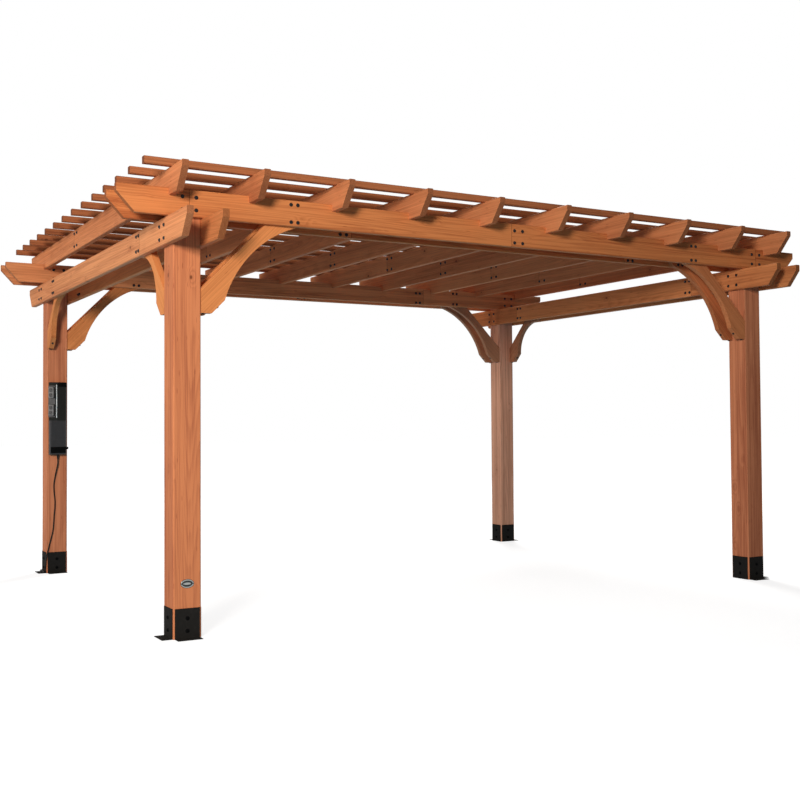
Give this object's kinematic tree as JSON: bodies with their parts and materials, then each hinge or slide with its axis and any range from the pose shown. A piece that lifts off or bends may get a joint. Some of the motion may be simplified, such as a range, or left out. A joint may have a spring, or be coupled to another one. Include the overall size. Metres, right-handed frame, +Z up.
{
  "type": "garden pergola",
  "caption": "Freestanding wooden garden pergola: square posts with arched braces carry paired beams and ties, notched rafters and slats, with a power box and cord on one post.",
  "frame": {"origin": "on the ground, midway between the four posts", "axes": "+X along the long side to the right as seen from the front, +Y to the back, +Z up"},
  "size_m": [4.9, 3.724, 2.441],
  "materials": {
    "post_wood": "satin stain",
    "board_wood": "satin stain",
    "black_steel": "matte powder coat",
    "box_plastic": "matte",
    "bright_plate": "brushed",
    "cord_rubber": "matte"
  },
  "bodies": {
    "root": {"front_left_post": "post_wood", "front_right_post": "post_wood", "back_left_post": "post_wood", "back_right_post": "post_wood", "front_left_base": "black_steel", "front_right_base": "black_steel", "back_left_base": "black_steel", "back_right_base": "black_steel", "front_outer_beam": "board_wood", "front_inner_beam": "board_wood", "back_inner_beam": "board_wood", "back_outer_beam": "board_wood", "left_outer_tie": "board_wood", "left_inner_tie": "board_wood", "right_inner_tie": "board_wood", "right_outer_tie": "board_wood", "front_left_beam_braces": "board_wood", "front_right_beam_braces": "board_wood", "back_left_beam_braces": "board_wood", "back_right_beam_braces": "board_wood", "front_left_tie_brace": "board_wood", "front_right_tie_brace": "board_wood", "back_left_tie_brace": "board_wood", "back_right_tie_brace": "board_wood", "rafter_1": "board_wood", "rafter_2": "board_wood", "rafter_3": "board_wood", "rafter_4": "board_wood", "rafter_5": "board_wood", "rafter_6": "board_wood", "rafter_7": "board_wood", "rafter_8": "board_wood", "rafter_9": "board_wood", "rafter_10": "board_wood", "front_slats": "board_wood", "back_slats": "board_wood", "oval_plate": "bright_plate", "outlet_housing": "box_plastic", "lower_case": "box_plastic", "cord_gland": "cord_rubber", "supply_cord": "cord_rubber", "cord_coil": "cord_rubber", "cord_plug": "cord_rubber"}
  },
  "joints": []
}
